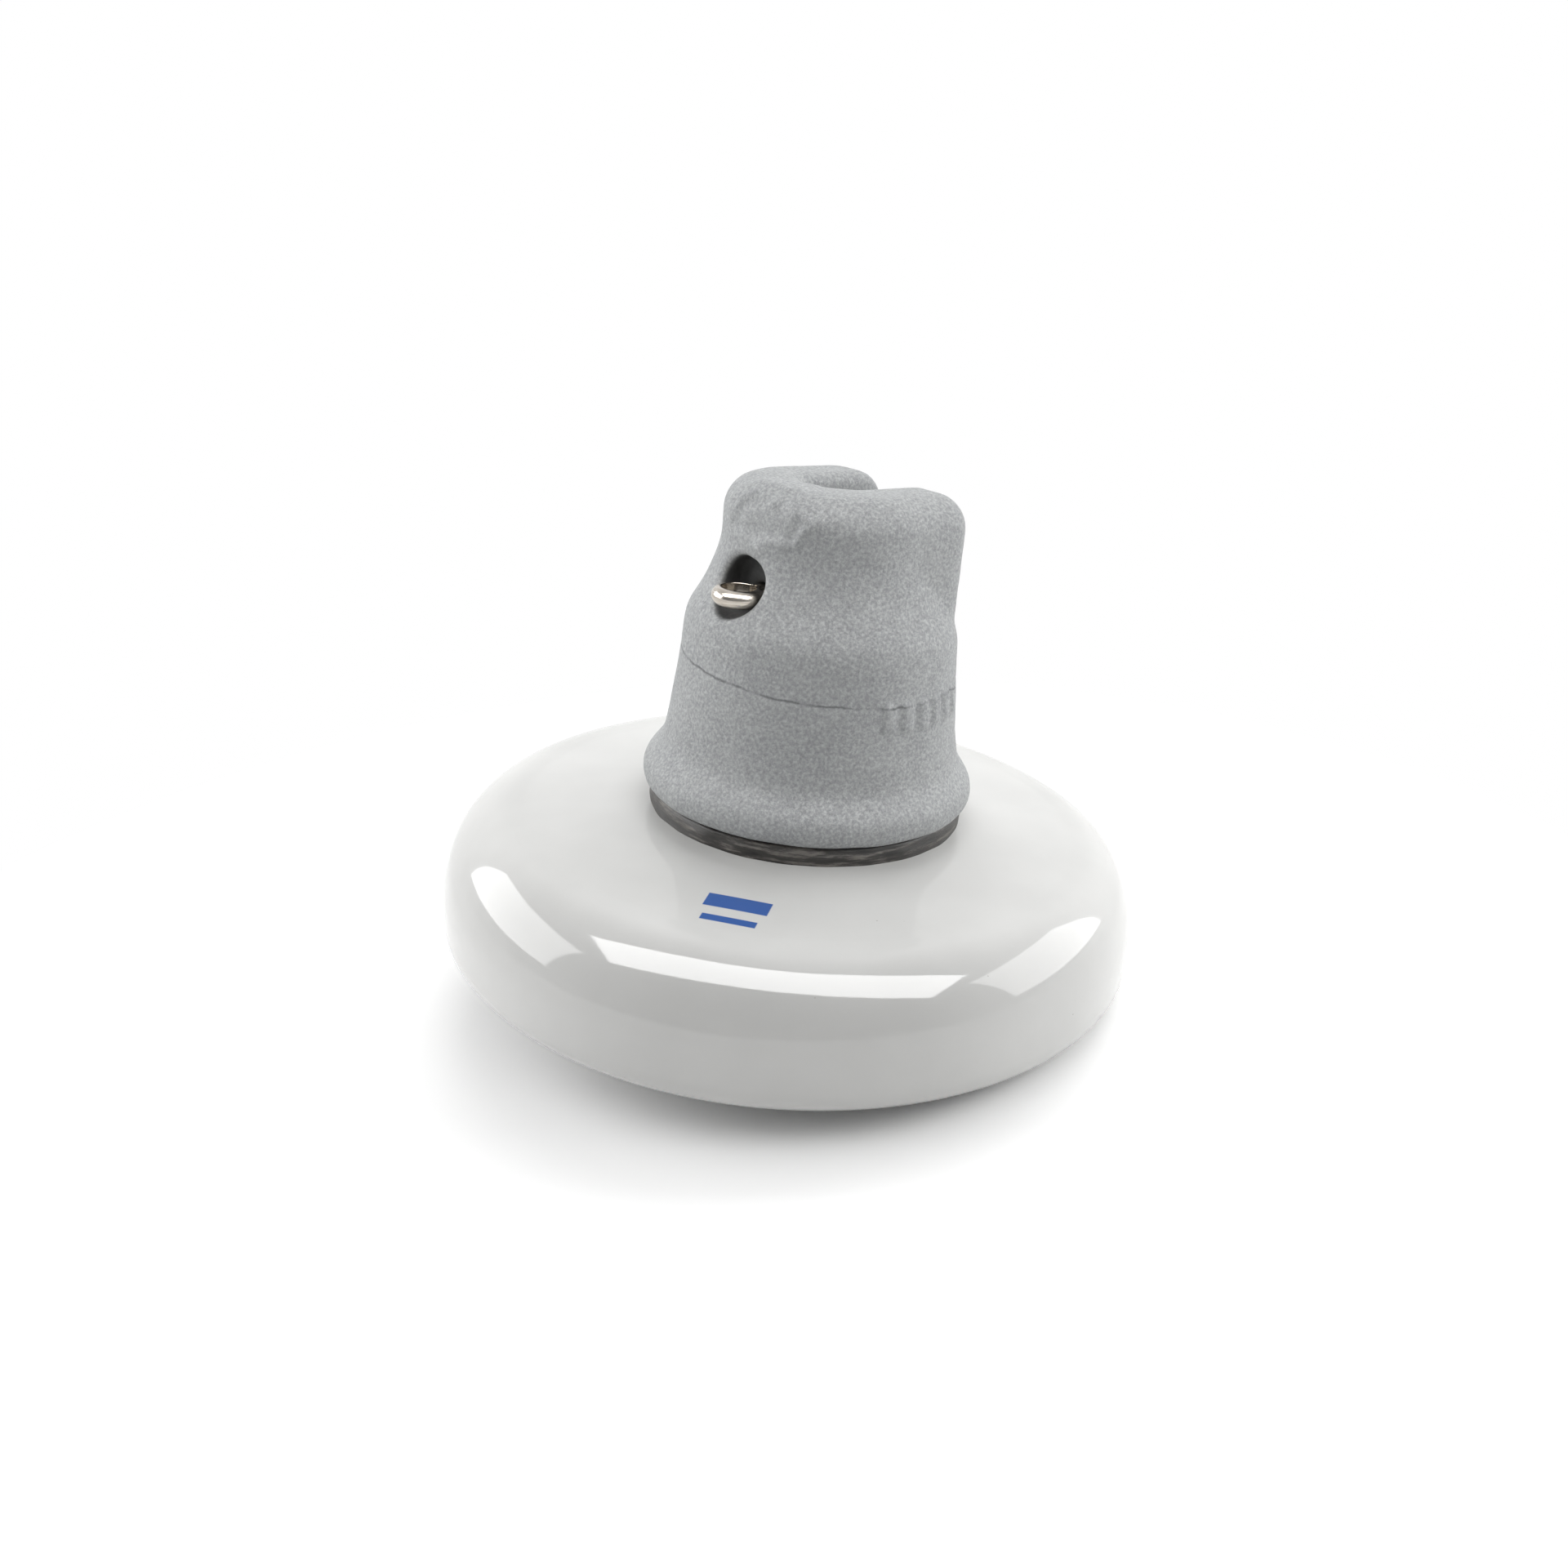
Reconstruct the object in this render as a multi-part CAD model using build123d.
from build123d import *
import math
import os

# Disc suspension insulator, one unit of a string.  Millimetres.
# Frame: +Z up along the insulator's axis.  The origin is the socket datum: the plane of the largest
# diameter of a ball hanging in the socket.  The split pin goes in from -X, a ball enters from +X.

# ---- coupling (24 mm ball and socket) -------------------------------------------------------------
SPACING = 195.0            # socket datum to ball datum
SHANK_D = 25.0
BALL_D = 49.0
BALL_BELOW = 8.0           # ball end to the ball's largest diameter
BALL_DOME_R = 78.0         # dome of the ball's end
BALL_DOME_RUN = 18.0       # radius at which the dome turns into the corner
BEARING_R = 28.3           # spherical bearing face
BEARING_DROP = 14.2        # centre of that face under the datum
NECK_R = 5.0               # fillet between bearing face and shank
SEAT_CLEAR = 0.8           # socket seat larger than the ball, all round
THROAT_W = 27.5
CAVITY_D = 52.0
ENTRY_DROP = 10.0          # a ball is this much lower while it slides in or out
FLOOR_UNDER_BALL = 12.0    # cavity floor under the seated ball's end

# ---- split pin ------------------------------------------------------------------------------------
WIRE_H = 8.0               # half-round wire, flat side in
WIRE_T = 4.0
WIRE_Z = -13.5             # middle of the legs
EYE_D = 23.0
EYE_X = -51.0
EYE_BEND = 6.5             # from leg to eye, on the flat side
LEG_KNEE_R = 9.0
LEG_GAP = 0.4              # between the flat sides of the legs
LEG_TIP_X = 12.0           # locked position
TIP_LEN = 6.5
TIP_SPREAD = 3.2
HOLE_D = 10.0              # bore the legs slide in
RECESS_D = 26.0
RECESS_Z = -9.5
RECESS_FLOOR_X = -38.6
RECESS_LEAD = 2.5          # rounding of the recess's mouth
POCKET_CLEAR = 3.0         # room over and under the wire in the pocket
POCKET_W = 17.0            # room for the spread tips while the pin is drawn back
POCKET_X = -33.0

# ---- porcelain shell ------------------------------------------------------------------------------
DISC_D = 330.0
RIM_TOP = -125.0           # top of the rim shoulder
RIM_H = 62.0
SHOULDER_RUN = 29.0
SHOULDER_DROP = 38.7
TOE_RUN = 17.0
TOE_RISE = 15.7
TOP_RISE = 6.0             # the top is this much higher at the cap than at the rim
HEAD_D = 98.0
HEAD_NECK_D = 95.0
HEAD_H = 81.0              # above the rim shoulder
HEAD_ROUND = 15.0
PIN_HOLE_D = 57.5
PIN_HOLE_MOUTH_D = 55.0
PIN_HOLE_H = 66.0
MOUTH_DROP = 15.0          # lower edge of the pin hole under the rim shoulder
PLATE_T = 19.0             # thickness of the shed between the ribs
RIBS = ((118.0, 56.0), (89.0, 55.0), (60.5, 50.0))   # radius of each rib, depth under the shoulder
RIB_TIP_W = 9.0
RIB_ROOT_W = 16.0
RIB_ROOT_R = 6.0
RIM_LEDGE = 6.0            # inner side of the rim: foot of its slope beyond the toe
HEAD_KNEE = 56.0           # head's side, heights above the shoulder: start of the waist
HEAD_WAIST = 34.0
HEAD_FOOT = 9.5
HOLE_STEP = 18.0           # pin hole: where it has widened to its full bore
HOLE_LIP = 4.0
HOLE_TOP_R = 12.0
HOLE_SOFT = 10.0
MOUTH_LIP = 8.0            # porcelain round the mouth of the pin hole

# ---- cap ------------------------------------------------------------------------------------------
FLANGE_D = 155.2
FLANGE_H = 11.0            # upright band of the lip, before its roundings
FLANGE_BOTTOM = -111.0
LIP_LOW_R = 6.0
LIP_TOP_R = 12.0
FLARE_R = 16.0             # hollow above the lip
CAP_FOOT_D = 138.4         # where the flare meets the bell
CAP_FOOT_Z = -88.5
CAP_BELT_D = 128.0         # parting line
CAP_BELT_Z = -50.0
SHOULDER_D = 124.8         # where the bell turns in to the head
SHOULDER_Z = -33.0
CAP_TOP = 34.0
HEAD_BACK_R = 48.3         # round back of the head
HEAD_BACK_Z = 11.0         # where the head's foot has drawn in to its round back
EAR_FRONT_X = 47.0
EAR_CORNER_R = 18.0
THROAT_LEAD = 6.5          # rounding of the throat's edges, over the top and down the front
EAR_TAPER = 0.8            # each side of the head draws in this much towards the front
EAR_FOOT_Z = -34.0
FOOT_BLEND = 14.0          # hollow where the ears run out into the shoulder
EAR_EDGE = 16.0            # rounding along the top of the head
CAP_ROOF = -41.0           # inside
CAP_MOUTH_D = 110.0
CAP_BORE_D = 115.0         # widest inside, so the cement locks
CAP_BORE_TOP_D = 104.0

# ---- fillings -------------------------------------------------------------------------------------
CUSHION_T = 3.0
CUSHION_D = 74.0
PIN_HEAD_D = 47.0
PIN_TOP = 59.5             # above the rim shoulder
PIN_COLLAR = 6.5           # collar and waist of the pin's cemented end, out from the shank
PIN_COLLAR_Z = 19.0
PIN_COLLAR_H = 4.0
PIN_WAIST = 3.2
PIN_WAIST_Z = 28.0
PIN_HEAD_Z = 48.0
PIN_CUSHION_T = 3.0
PIN_CEMENT_DROP = 10.0     # lower face of the pin cement under the rim shoulder
PIN_SEAL_T = 3.0
SEAL_D = 148.0
SEAL_LIP = 10.0            # how far the seal goes in over the cap's mouth


def arc_mid(c, a, b):
    """Point half way along the short arc from a to b round c."""
    va, vb = (a[0] - c[0], a[1] - c[1]), (b[0] - c[0], b[1] - c[1])
    m = (va[0] + vb[0], va[1] + vb[1])
    k = math.hypot(*va) / math.hypot(*m)
    return (c[0] + m[0] * k, c[1] + m[1] * k)


def outline(points, plane="XZ", closed=True):
    """Edges through (u, v[, rounding[, second set-back]]) points.

    One rounding is a true fillet radius; two set-backs make an elliptical corner."""
    n = len(points)
    ends = []
    for i, p in enumerate(points):
        q = (p[0], p[1])
        if len(p) == 2 or not p[2] or (not closed and i in (0, n - 1)):
            ends.append((q, None, q))
            continue
        a, b = points[i - 1][:2], points[(i + 1) % n][:2]
        da = (a[0] - q[0], a[1] - q[1])
        db = (b[0] - q[0], b[1] - q[1])
        la, lb = math.hypot(*da), math.hypot(*db)
        da, db = (da[0] / la, da[1] / la), (db[0] / lb, db[1] / lb)
        if len(p) == 4:
            s, t, k = p[2], p[3], 0.4477
            p0, p1 = (q[0] + da[0] * s, q[1] + da[1] * s), (q[0] + db[0] * t, q[1] + db[1] * t)
            c0 = (q[0] + da[0] * s * k, q[1] + da[1] * s * k)
            c1 = (q[0] + db[0] * t * k, q[1] + db[1] * t * k)
            ends.append((p0, ("bezier", c0, c1), p1))
            continue
        half = math.acos(max(-1, min(1, da[0] * db[0] + da[1] * db[1]))) / 2
        s = p[2] / math.tan(half)
        p0, p1 = (q[0] + da[0] * s, q[1] + da[1] * s), (q[0] + db[0] * s, q[1] + db[1] * s)
        m = (da[0] + db[0], da[1] + db[1])
        k = p[2] / math.sin(half) / math.hypot(*m)
        c = (q[0] + m[0] * k, q[1] + m[1] * k)
        ends.append((p0, ("arc", arc_mid(c, p0, p1)), p1))

    def at(p):
        return (p[0], 0, p[1]) if plane == "XZ" else (p[0], p[1], 0)

    edges = []
    for i in range(n):
        p0, mid, p1 = ends[i]
        if mid and mid[0] == "arc":
            edges.append(ThreePointArc(at(p0), at(mid[1]), at(p1)))
        elif mid:
            edges.append(Bezier(at(p0), at(mid[1]), at(mid[2]), at(p1)))
        if i == n - 1 and not closed:
            break
        nxt = ends[(i + 1) % n][0]
        if math.hypot(nxt[0] - p1[0], nxt[1] - p1[1]) > 1e-5:
            edges.append(Line(at(p1), at(nxt)))
    return edges


def turned(points):
    return revolve(make_face(outline(points)), Axis.Z, 360)


def ball_edges(datum, grow=0.0):
    """Half outline of the ball from its end to the shank, drawn at y = 0."""
    r = BALL_D / 2 + grow
    end = datum - BALL_BELOW - grow
    run = BALL_DOME_RUN
    sag = BALL_DOME_R - math.sqrt(BALL_DOME_R ** 2 - run ** 2)
    half = BALL_DOME_R - math.sqrt(BALL_DOME_R ** 2 - run ** 2 / 4)
    zc, R = datum - BEARING_DROP, BEARING_R + grow
    side = zc + math.sqrt(R * R - r * r)
    rn = SHANK_D / 2 + grow + NECK_R * 0.55
    neck = zc + math.sqrt(R * R - rn * rn)
    rm = (r + rn) / 2
    top = neck + NECK_R
    rs = SHANK_D / 2 + grow
    low = datum - 1.0
    return [
        ThreePointArc((0, 0, end), (run / 2, 0, end + half), (run, 0, end + sag)),
        Spline((run, 0, end + sag), (r, 0, low), tangents=[(1, 0, run / BALL_DOME_R), (0, 0, 1)]),
        Line((r, 0, low), (r, 0, side)),
        ThreePointArc((r, 0, side), (rm, 0, zc + math.sqrt(R * R - rm * rm)), (rn, 0, neck)),
        Spline((rn, 0, neck), (rs, 0, top), tangents=[(-math.sqrt(R * R - rn * rn) / R, 0, rn / R), (0, 0, 1)]),
    ], top


# ---- porcelain ------------------------------------------------------------------------------------
def head_outline():
    """Outer side of the porcelain from the middle of its head to the cap's edge."""
    z = RIM_TOP
    return [
        (0, z + HEAD_H), (HEAD_D / 2, z + HEAD_H, HEAD_ROUND), (HEAD_D / 2, z + HEAD_KNEE, 20),
        (HEAD_NECK_D / 2, z + HEAD_WAIST, 20), (HEAD_NECK_D / 2 + 0.6, z + HEAD_FOOT, 10),
    ]


def shell_outline():
    z, r = RIM_TOP, DISC_D / 2
    low = z - RIM_H
    pts = [
        *head_outline(),
        (SEAL_D / 2 - 2, z + TOP_RISE, 30), (r - SHOULDER_RUN - RIM_LEDGE, z + 0.5, 40),
        (r, z, SHOULDER_RUN, SHOULDER_DROP), (r, low, TOE_RISE, TOE_RUN),
        (r - TOE_RUN - 1.5, low, 3.5), (r - TOE_RUN - RIM_LEDGE, z - PLATE_T, 9),
    ]
    for rr, depth in RIBS:
        pts += [
            (rr + RIB_ROOT_W / 2, z - PLATE_T, RIB_ROOT_R), (rr + RIB_TIP_W / 2, z - depth, RIB_TIP_W * 0.42),
            (rr - RIB_TIP_W / 2, z - depth, RIB_TIP_W * 0.42), (rr - RIB_ROOT_W / 2, z - PLATE_T, RIB_ROOT_R),
        ]
    hole = PIN_HOLE_D / 2
    pts += [
        (PIN_HOLE_MOUTH_D / 2 + MOUTH_LIP + 4, z - PLATE_T, 6), (PIN_HOLE_MOUTH_D / 2 + MOUTH_LIP, z - MOUTH_DROP, 3),
        (PIN_HOLE_MOUTH_D / 2, z - MOUTH_DROP, 3), (PIN_HOLE_MOUTH_D / 2, z + HOLE_LIP, HOLE_SOFT),
        (hole, z + HOLE_STEP, HOLE_SOFT), (hole, z + PIN_HOLE_H, HOLE_TOP_R), (0, z + PIN_HOLE_H),
    ]
    return pts


def porcelain_shell():
    return turned(shell_outline())


def pin_hole_fill():
    """Solid that fills the pin hole down to the lower face of the porcelain's mouth."""
    z, hole, mouth = RIM_TOP, PIN_HOLE_D / 2, PIN_HOLE_MOUTH_D / 2
    return turned([
        (0, z + PIN_HOLE_H), (hole, z + PIN_HOLE_H, HOLE_TOP_R), (hole, z + HOLE_STEP, HOLE_SOFT),
        (mouth, z + HOLE_LIP, HOLE_SOFT),
        (mouth, z - PIN_CEMENT_DROP), (0, z - PIN_CEMENT_DROP),
    ])


# ---- pin ------------------------------------------------------------------------------------------
def pin():
    z, s, h = RIM_TOP, SHANK_D / 2, PIN_HEAD_D / 2
    edges, top = ball_edges(-SPACING)
    up = outline([
        (s, top), (s, z + 6, 6), (s + PIN_COLLAR, z + PIN_COLLAR_Z, 2.5),
        (s + PIN_COLLAR, z + PIN_COLLAR_Z + PIN_COLLAR_H, 2), (s + PIN_WAIST, z + PIN_WAIST_Z, 3),
        (h, z + PIN_HEAD_Z, 3), (h, z + PIN_TOP, 4), (0, z + PIN_TOP),
    ], closed=False)
    axis = Line((0, 0, z + PIN_TOP), (0, 0, -SPACING - BALL_BELOW))
    return revolve(make_face(edges + up + [axis]), Axis.Z, 360)


# ---- cap ------------------------------------------------------------------------------------------
def cap_body():
    """Bell of the cap with its flange and shoulder, solid."""
    f, foot, belt = FLANGE_D / 2, CAP_FOOT_D / 2, CAP_BELT_D / 2
    edges = outline([
        (f - 13, FLANGE_BOTTOM), (f, FLANGE_BOTTOM, LIP_LOW_R), (f, FLANGE_BOTTOM + FLANGE_H, LIP_TOP_R),
        (foot, CAP_FOOT_Z, FLARE_R), (foot - 2.2, CAP_FOOT_Z + 13, 40), (belt, CAP_BELT_Z, 60),
        (SHOULDER_D / 2, SHOULDER_Z),
    ], closed=False)
    b, z = HEAD_BACK_R, HEAD_BACK_Z
    edges += [
        Spline((SHOULDER_D / 2, 0, SHOULDER_Z), (b + 12.3, 0, z - 36.5), (b + 8.7, 0, z - 29.4), (b + 5.1, 0, z - 22),
               (b + 2.2, 0, z - 14), (b + 0.5, 0, z - 7), (b, 0, z), tangents=[(-0.1, 0, 1), (0, 0, 1)]),
        Line((b, 0, z), (0, 0, z)), Line((0, 0, z), (0, 0, FLANGE_BOTTOM)),
        Line((0, 0, FLANGE_BOTTOM), (f - 13, 0, FLANGE_BOTTOM)),
    ]
    return revolve(make_face(edges), Axis.Z, 360)


def head_block():
    """Head with the two ears: a D-shaped block with a deep rounding, split by the throat."""
    b, x, t = HEAD_BACK_R, EAR_FRONT_X, THROAT_W / 2
    side = [(0, -b), (x, EAR_TAPER - b, EAR_CORNER_R), (x, b - EAR_TAPER, EAR_CORNER_R), (0, b)]
    front = outline(side, plane="XY", closed=False)
    back = ThreePointArc((0, b, 0), (-b, 0, 0), (0, -b, 0))
    block = extrude(Pos(0, 0, EAR_FOOT_Z) * make_face([*front, back]), CAP_TOP - EAR_FOOT_Z)
    block = fillet(block.edges().group_by(Axis.Z)[-1], EAR_EDGE)
    cut = Pos(0, 0, EAR_FOOT_Z - 1) * (
        Cylinder(t, 100, align=(Align.CENTER, Align.CENTER, Align.MIN))
        + Box(90, THROAT_W, 100, align=(Align.MIN, Align.CENTER, Align.MIN)))
    block = block - cut
    walls = [f for f in block.faces() if all(abs(v.Y) < t + 0.01 for v in f.vertices())]
    sides = [e for f in walls for e in f.edges()]
    lead = [e for e in sides if sum(e.is_same(o) for o in sides) == 1 and e.center().Z > EAR_FOOT_Z + 1]
    return fillet(lead, THROAT_LEAD)


def socket_void():
    """Room for the ball in the seat, its way in, the throat and the clip level."""
    floor = -BALL_BELOW - FLOOR_UNDER_BALL
    cr, t = CAVITY_D / 2, THROAT_W / 2
    edges, top = ball_edges(0.0, SEAT_CLEAR)
    rs = SHANK_D / 2 + SEAT_CLEAR
    seat = revolve(make_face(edges + [
        Line((rs, 0, top), (0, 0, top)), Line((0, 0, top), (0, 0, -BALL_BELOW - SEAT_CLEAR))]), Axis.Z, 360)
    low = Pos(0, 0, floor) * Cylinder(cr, -floor - 0.6, align=(Align.CENTER, Align.CENTER, Align.MIN))
    # way in: outline of a lowered ball, carried out through the front
    zc, R = -ENTRY_DROP - BEARING_DROP, BEARING_R + (cr - BALL_D / 2)
    side = zc + math.sqrt(R * R - cr * cr)
    neck = zc + math.sqrt(R * R - t * t)
    rm = (cr + t) / 2
    mid = zc + math.sqrt(R * R - rm * rm)
    path = make_face([
        Line((0, -cr, floor), (0, cr, floor)), Line((0, cr, floor), (0, cr, side)),
        ThreePointArc((0, cr, side), (0, rm, mid), (0, t, neck)), Line((0, t, neck), (0, -t, neck)),
        ThreePointArc((0, -t, neck), (0, -rm, mid), (0, -cr, side)), Line((0, -cr, side), (0, -cr, floor)),
    ])
    way = extrude(path, 90, dir=(1, 0, 0))
    throat = Pos(0, 0, floor) * (
        Cylinder(t, 80, align=(Align.CENTER, Align.CENTER, Align.MIN))
        + Box(90, THROAT_W, 80, align=(Align.MIN, Align.CENTER, Align.MIN)))
    return seat + low + way + throat


def clip_void():
    """Recess for the eye, bore for the legs and pocket for their spread tips."""
    turn = Rotation(0, -90, 0)
    recess = Pos(RECESS_FLOOR_X, 0, RECESS_Z) * turn * Cylinder(
        RECESS_D / 2, 60, align=(Align.CENTER, Align.CENTER, Align.MIN))
    bore = Pos(0, 0, WIRE_Z) * turn * Cylinder(HOLE_D / 2, 60, align=(Align.CENTER, Align.CENTER, Align.MIN))
    pocket = Pos(POCKET_X, 0, WIRE_Z) * Box(
        -POCKET_X, POCKET_W, WIRE_H + POCKET_CLEAR, align=(Align.MIN, Align.CENTER, Align.CENTER))
    return recess, bore + pocket


def cap_bore():
    """Room inside the cap for the porcelain's head, cement and cushion."""
    return turned([
        (0, CAP_ROOF), (CAP_BORE_TOP_D / 2, CAP_ROOF, 12), (CAP_BORE_D / 2, CAP_ROOF - 30, 25),
        (CAP_MOUTH_D / 2, FLANGE_BOTTOM + 6, 3), (CAP_MOUTH_D / 2, FLANGE_BOTTOM - 1), (0, FLANGE_BOTTOM - 1),
    ])


def cap():
    head = head_block()
    body = cap_body() + head
    foot = [e for e in body.edges() if SHOULDER_Z < e.bounding_box().min.Z < HEAD_BACK_Z - 5
            and e.bounding_box().max.Z < HEAD_BACK_Z + 0.5 and abs(e.center().Y) > THROAT_W / 2]
    body = fillet(foot, FOOT_BLEND)
    recess, bore = clip_void()
    out = body - recess
    wall = [f for f in out.faces() if f.geom_type == GeomType.CYLINDER and abs(f.radius - RECESS_D / 2) < 1e-6]
    mouth = [e for f in wall for e in f.edges() if e.geom_type not in (GeomType.LINE, GeomType.CIRCLE)]
    out = fillet(mouth, RECESS_LEAD)
    out = out - socket_void() - bore - cap_bore()
    return out


# ---- split pin ------------------------------------------------------------------------------------
def split_pin():
    """Half-round wire bent to an eye with two legs, flat sides together."""
    g, ri = LEG_GAP / 2, EYE_D / 2 - WIRE_T
    # centre of the bend lies outside the wire, tangent to the leg and to the eye
    cy = g + EYE_BEND
    cx = EYE_X + math.sqrt((ri + EYE_BEND) ** 2 - cy ** 2)
    k = ri / (ri + EYE_BEND)
    join = (EYE_X + (cx - EYE_X) * k, cy * k)
    tip = (LEG_TIP_X, g + TIP_SPREAD)
    knee = (LEG_TIP_X - TIP_LEN, g)
    pts = outline([(tip[0], tip[1]), (knee[0], knee[1], LEG_KNEE_R), (cx, g)], plane="XY", closed=False)
    half = pts + [ThreePointArc((cx, g, 0), arc_mid((cx, cy), (cx, g), join) + (0,), join + (0,))]
    eye = ThreePointArc(join + (0,), (EYE_X - ri, 0, 0), (join[0], -join[1], 0))
    other = [e.mirror(Plane.XZ) for e in half]
    path = Wire(half + [eye] + other)
    start = path @ 0
    if (start - Vector(tip[0], tip[1], 0)).length > 1e-3:
        start = path @ 1
        tangent = -(path % 1)
    else:
        tangent = path % 0
    side = Vector(0, 0, 1).cross(tangent)
    if side.Y < 0:
        side = -side
    plane = Plane(origin=start, x_dir=side, z_dir=tangent)
    r = WIRE_H / 2
    section = plane * make_face([
        Line((0, -r, 0), (0, r, 0)), ThreePointArc((0, r, 0), (WIRE_T, 0, 0), (0, -r, 0))])
    return Pos(0, 0, WIRE_Z) * sweep(section, path=path, is_frenet=False)


# ---- fillings -------------------------------------------------------------------------------------
def head_cushion():
    return turned([
        (0, CAP_ROOF), (CUSHION_D / 2, CAP_ROOF), (CUSHION_D / 2, CAP_ROOF - CUSHION_T), (0, CAP_ROOF - CUSHION_T)])


def cap_cement():
    keep = Pos(0, 0, CAP_ROOF) * Cylinder(90, CAP_ROOF - FLANGE_BOTTOM - 2, align=(Align.CENTER, Align.CENTER, Align.MAX))
    return (cap_bore() & keep) - porcelain_shell() - pin_hole_fill() - head_cushion()


def cap_seal_ring():
    """Bitumen between the cap's flange, its cement and the porcelain."""
    block = turned([
        (HEAD_NECK_D / 2 - 2, FLANGE_BOTTOM + 2), (CAP_MOUTH_D / 2 + SEAL_LIP, FLANGE_BOTTOM + 2),
        (CAP_MOUTH_D / 2 + SEAL_LIP, FLANGE_BOTTOM), (SEAL_D / 2 - 1, FLANGE_BOTTOM, 2),
        (SEAL_D / 2, RIM_TOP + TOP_RISE + 4, 4),
        (SEAL_D / 2 + 0.5, RIM_TOP - 2), (HEAD_NECK_D / 2 - 2, RIM_TOP - 2)])
    return block - porcelain_shell() - cap()


def pin_cushion():
    z = RIM_TOP + PIN_TOP
    r = PIN_HEAD_D / 2 - 4
    return turned([(0, z), (r, z), (r, z + PIN_CUSHION_T), (0, z + PIN_CUSHION_T)])


def pin_cement():
    return pin_hole_fill() - pin() - pin_cushion()


def pin_seal_ring():
    z = RIM_TOP - PIN_CEMENT_DROP
    return turned([
        (SHANK_D / 2, z), (PIN_HOLE_MOUTH_D / 2, z), (PIN_HOLE_MOUTH_D / 2, z - PIN_SEAL_T, 1.2),
        (SHANK_D / 2, z - PIN_SEAL_T - 1.5)])


def creepage():
    """Length over the glaze from the seal ring to the mouth of the pin hole."""
    total, on = 0.0, False
    for e in outline(shell_outline()):
        b = e.bounding_box()
        if b.max.X > SEAL_D / 2 + 1:
            on = True
        if b.max.X < PIN_HOLE_MOUTH_D / 2 + 0.5:
            on = False
        if on:
            total += e.length
    return total


def main():
    parts = {
        "porcelain_shell": porcelain_shell(), "cap": cap(), "pin": pin(), "split_pin": split_pin(),
        "cap_cement": cap_cement(), "pin_cement": pin_cement(), "head_cushion": head_cushion(),
        "pin_cushion": pin_cushion(), "cap_seal_ring": cap_seal_ring(), "pin_seal_ring": pin_seal_ring(),
    }
    for name, shape in parts.items():
        solids = shape.solids()
        box = shape.bounding_box()
        print(f"{name:16s} solids {len(solids)} valid {shape.is_valid} cm3 {shape.volume / 1000:9.2f} "
              f"x {box.min.X:.1f}..{box.max.X:.1f} y {box.min.Y:.1f}..{box.max.Y:.1f} z {box.min.Z:.1f}..{box.max.Z:.1f}")
        shape.label = name
        export_step(solids[0] if len(solids) == 1 else shape, f"parts/{name}.step")
    print(f"creepage over the glaze {creepage():.0f} mm")


main()
